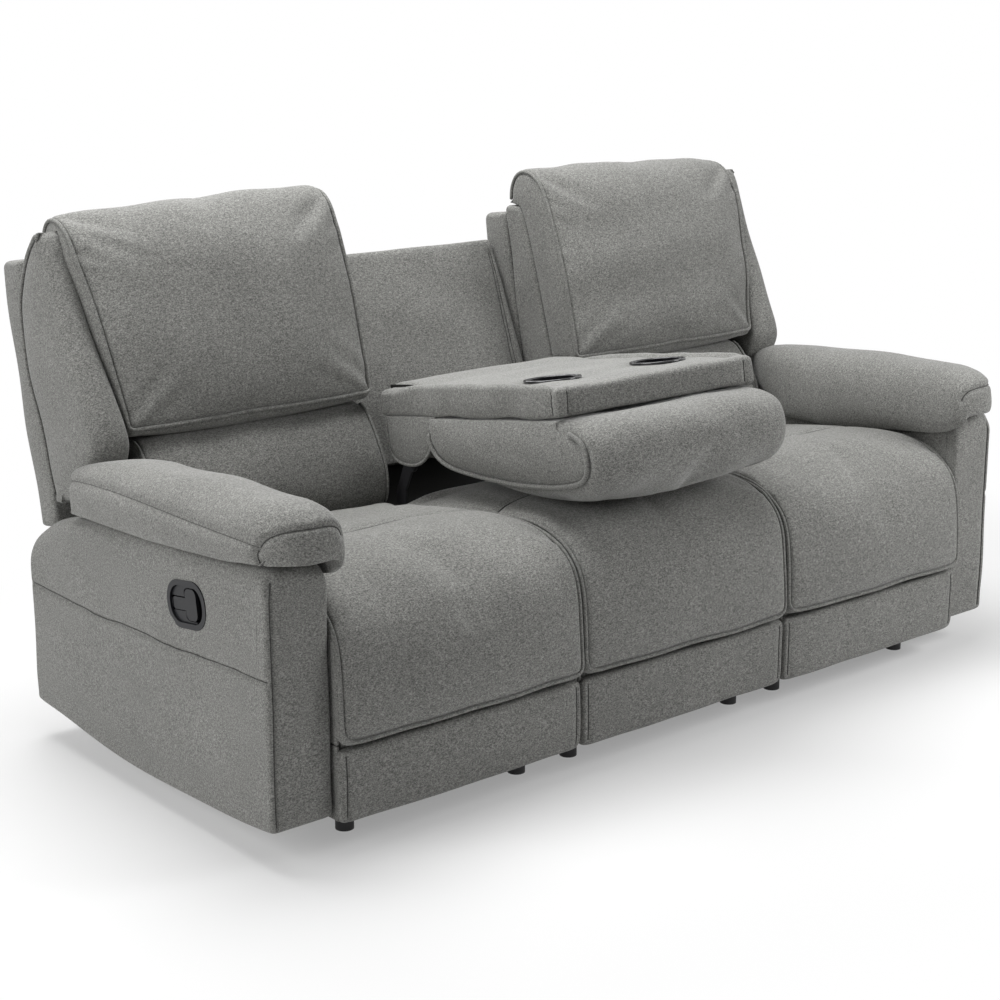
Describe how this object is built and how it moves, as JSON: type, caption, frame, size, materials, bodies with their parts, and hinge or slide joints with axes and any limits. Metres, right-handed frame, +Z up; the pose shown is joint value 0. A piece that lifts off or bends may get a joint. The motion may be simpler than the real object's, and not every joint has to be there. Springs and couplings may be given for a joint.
{
  "type": "recliner sofa",
  "caption": "Upholstered recliner sofa with reclining end backs, lever-released swing-up footrests, padded arms and a fold-down centre console with cup holders.",
  "frame": {"origin": "floor level under the middle of the sofa's bounding box", "axes": "+X along the sofa to the right seen from the front, the front faces -Y, +Z up"},
  "size_m": [1.9494, 0.9782, 1.0445],
  "materials": {
    "grey_fabric": "matte",
    "frame_wood": "matte",
    "black_steel": "satin",
    "black_plastic": "matte",
    "charcoal_plastic": "satin",
    "gloss_black": "gloss",
    "webbing": "matte"
  },
  "bodies": {
    "frame": {"back_hinge_posts": "black_steel", "base_cross_tubes": "black_steel", "base_side_rails": "black_steel", "console_hinge_brackets": "black_steel", "feet": "black_plastic", "footrest_hinge_brackets": "black_steel", "left_arm_frame": "frame_wood", "left_arm_front_panel": "grey_fabric", "left_arm_inner_panel": "grey_fabric", "left_arm_outer_panel": "grey_fabric", "left_arm_pad": "grey_fabric", "left_seat_cushion": "grey_fabric", "left_seat_frame": "frame_wood", "lever_bezels": "charcoal_plastic", "mechanism_plates": "black_steel", "middle_front_pad": "grey_fabric", "middle_front_panel": "grey_fabric", "middle_rear_panel": "grey_fabric", "middle_rear_posts": "frame_wood", "middle_seat_cushion": "grey_fabric", "middle_seat_frame": "frame_wood", "rear_covers": "grey_fabric", "right_arm_frame": "frame_wood", "right_arm_front_panel": "grey_fabric", "right_arm_inner_panel": "grey_fabric", "right_arm_outer_panel": "grey_fabric", "right_arm_pad": "grey_fabric", "right_seat_cushion": "grey_fabric", "right_seat_frame": "frame_wood", "seat_webbing": "webbing"},
    "left_back": {"left_back_body": "grey_fabric", "left_back_frame": "grey_fabric", "left_back_hinge_plates": "black_steel", "left_back_lumbar": "grey_fabric", "left_back_pillow": "grey_fabric"},
    "left_footrest": {"left_footrest_arms": "black_steel", "left_footrest_board": "frame_wood", "left_footrest_pad": "grey_fabric", "left_footrest_panel": "grey_fabric"},
    "left_link": {"left_support_links": "black_steel"},
    "left_tie": {"left_tie_bars": "black_steel"},
    "left_lever": {"left_lever_paddle": "charcoal_plastic"},
    "right_back": {"right_back_body": "grey_fabric", "right_back_frame": "grey_fabric", "right_back_hinge_plates": "black_steel", "right_back_lumbar": "grey_fabric", "right_back_pillow": "grey_fabric"},
    "right_footrest": {"right_footrest_arms": "black_steel", "right_footrest_board": "frame_wood", "right_footrest_pad": "grey_fabric", "right_footrest_panel": "grey_fabric"},
    "right_link": {"right_support_links": "black_steel"},
    "right_tie": {"right_tie_bars": "black_steel"},
    "right_lever": {"right_lever_paddle": "charcoal_plastic"},
    "console": {"console_table": "grey_fabric", "console_board": "frame_wood", "cup_holders": "gloss_black", "console_pillow": "grey_fabric", "console_lumbar": "grey_fabric", "console_hinge_arms": "black_steel"}
  },
  "joints": [
    {"name": "left_recline", "type": "hinge", "parent": "frame", "child": "left_back", "pos_m": [-0.555, 0.265, 0.32], "axis": [-1, 0, 0], "range_deg": [0, 40]},
    {"name": "left_footrest_swing", "type": "hinge", "parent": "frame", "child": "left_footrest", "pos_m": [-0.555, -0.424, 0.412], "axis": [-1, 0, 0], "range_deg": [0, 90]},
    {"name": "left_link_swing", "type": "hinge", "parent": "frame", "child": "left_link", "pos_m": [-0.555, -0.274, 0.345], "axis": [-1, 0, 0], "range_deg": [0, 90]},
    {"name": "left_tie_turn", "type": "hinge", "parent": "left_link", "child": "left_tie", "pos_m": [-0.555, -0.23, 0.213], "axis": [-1, 0, 0], "range_deg": [-90, 0]},
    {"name": "left_lever_pull", "type": "hinge", "parent": "frame", "child": "left_lever", "pos_m": [-0.9515, -0.15539, 0.41343], "axis": [0, -0.1392, -0.9903], "range_deg": [0, 30], "stiffness_Nm_per_rad": 0.4},
    {"name": "right_recline", "type": "hinge", "parent": "frame", "child": "right_back", "pos_m": [0.555, 0.265, 0.32], "axis": [-1, 0, 0], "range_deg": [0, 40]},
    {"name": "right_footrest_swing", "type": "hinge", "parent": "frame", "child": "right_footrest", "pos_m": [0.555, -0.424, 0.412], "axis": [-1, 0, 0], "range_deg": [0, 90]},
    {"name": "right_link_swing", "type": "hinge", "parent": "frame", "child": "right_link", "pos_m": [0.555, -0.274, 0.345], "axis": [-1, 0, 0], "range_deg": [0, 90]},
    {"name": "right_tie_turn", "type": "hinge", "parent": "right_link", "child": "right_tie", "pos_m": [0.555, -0.23, 0.213], "axis": [-1, 0, 0], "range_deg": [-90, 0]},
    {"name": "right_lever_pull", "type": "hinge", "parent": "frame", "child": "right_lever", "pos_m": [0.9515, -0.15539, 0.41343], "axis": [0, 0.1392, 0.9903], "range_deg": [0, 30], "stiffness_Nm_per_rad": 0.4},
    {"name": "console_fold", "type": "hinge", "parent": "frame", "child": "console", "pos_m": [0, 0.109, 0.495], "axis": [-1, 0, 0], "range_deg": [0, 98.5]}
  ],
  "couplings": [
    {"joint": "left_link_swing", "follows": "left_footrest_swing", "ratio": 1},
    {"joint": "left_tie_turn", "follows": "left_footrest_swing", "ratio": -1},
    {"joint": "right_link_swing", "follows": "right_footrest_swing", "ratio": 1},
    {"joint": "right_tie_turn", "follows": "right_footrest_swing", "ratio": -1}
  ]
}
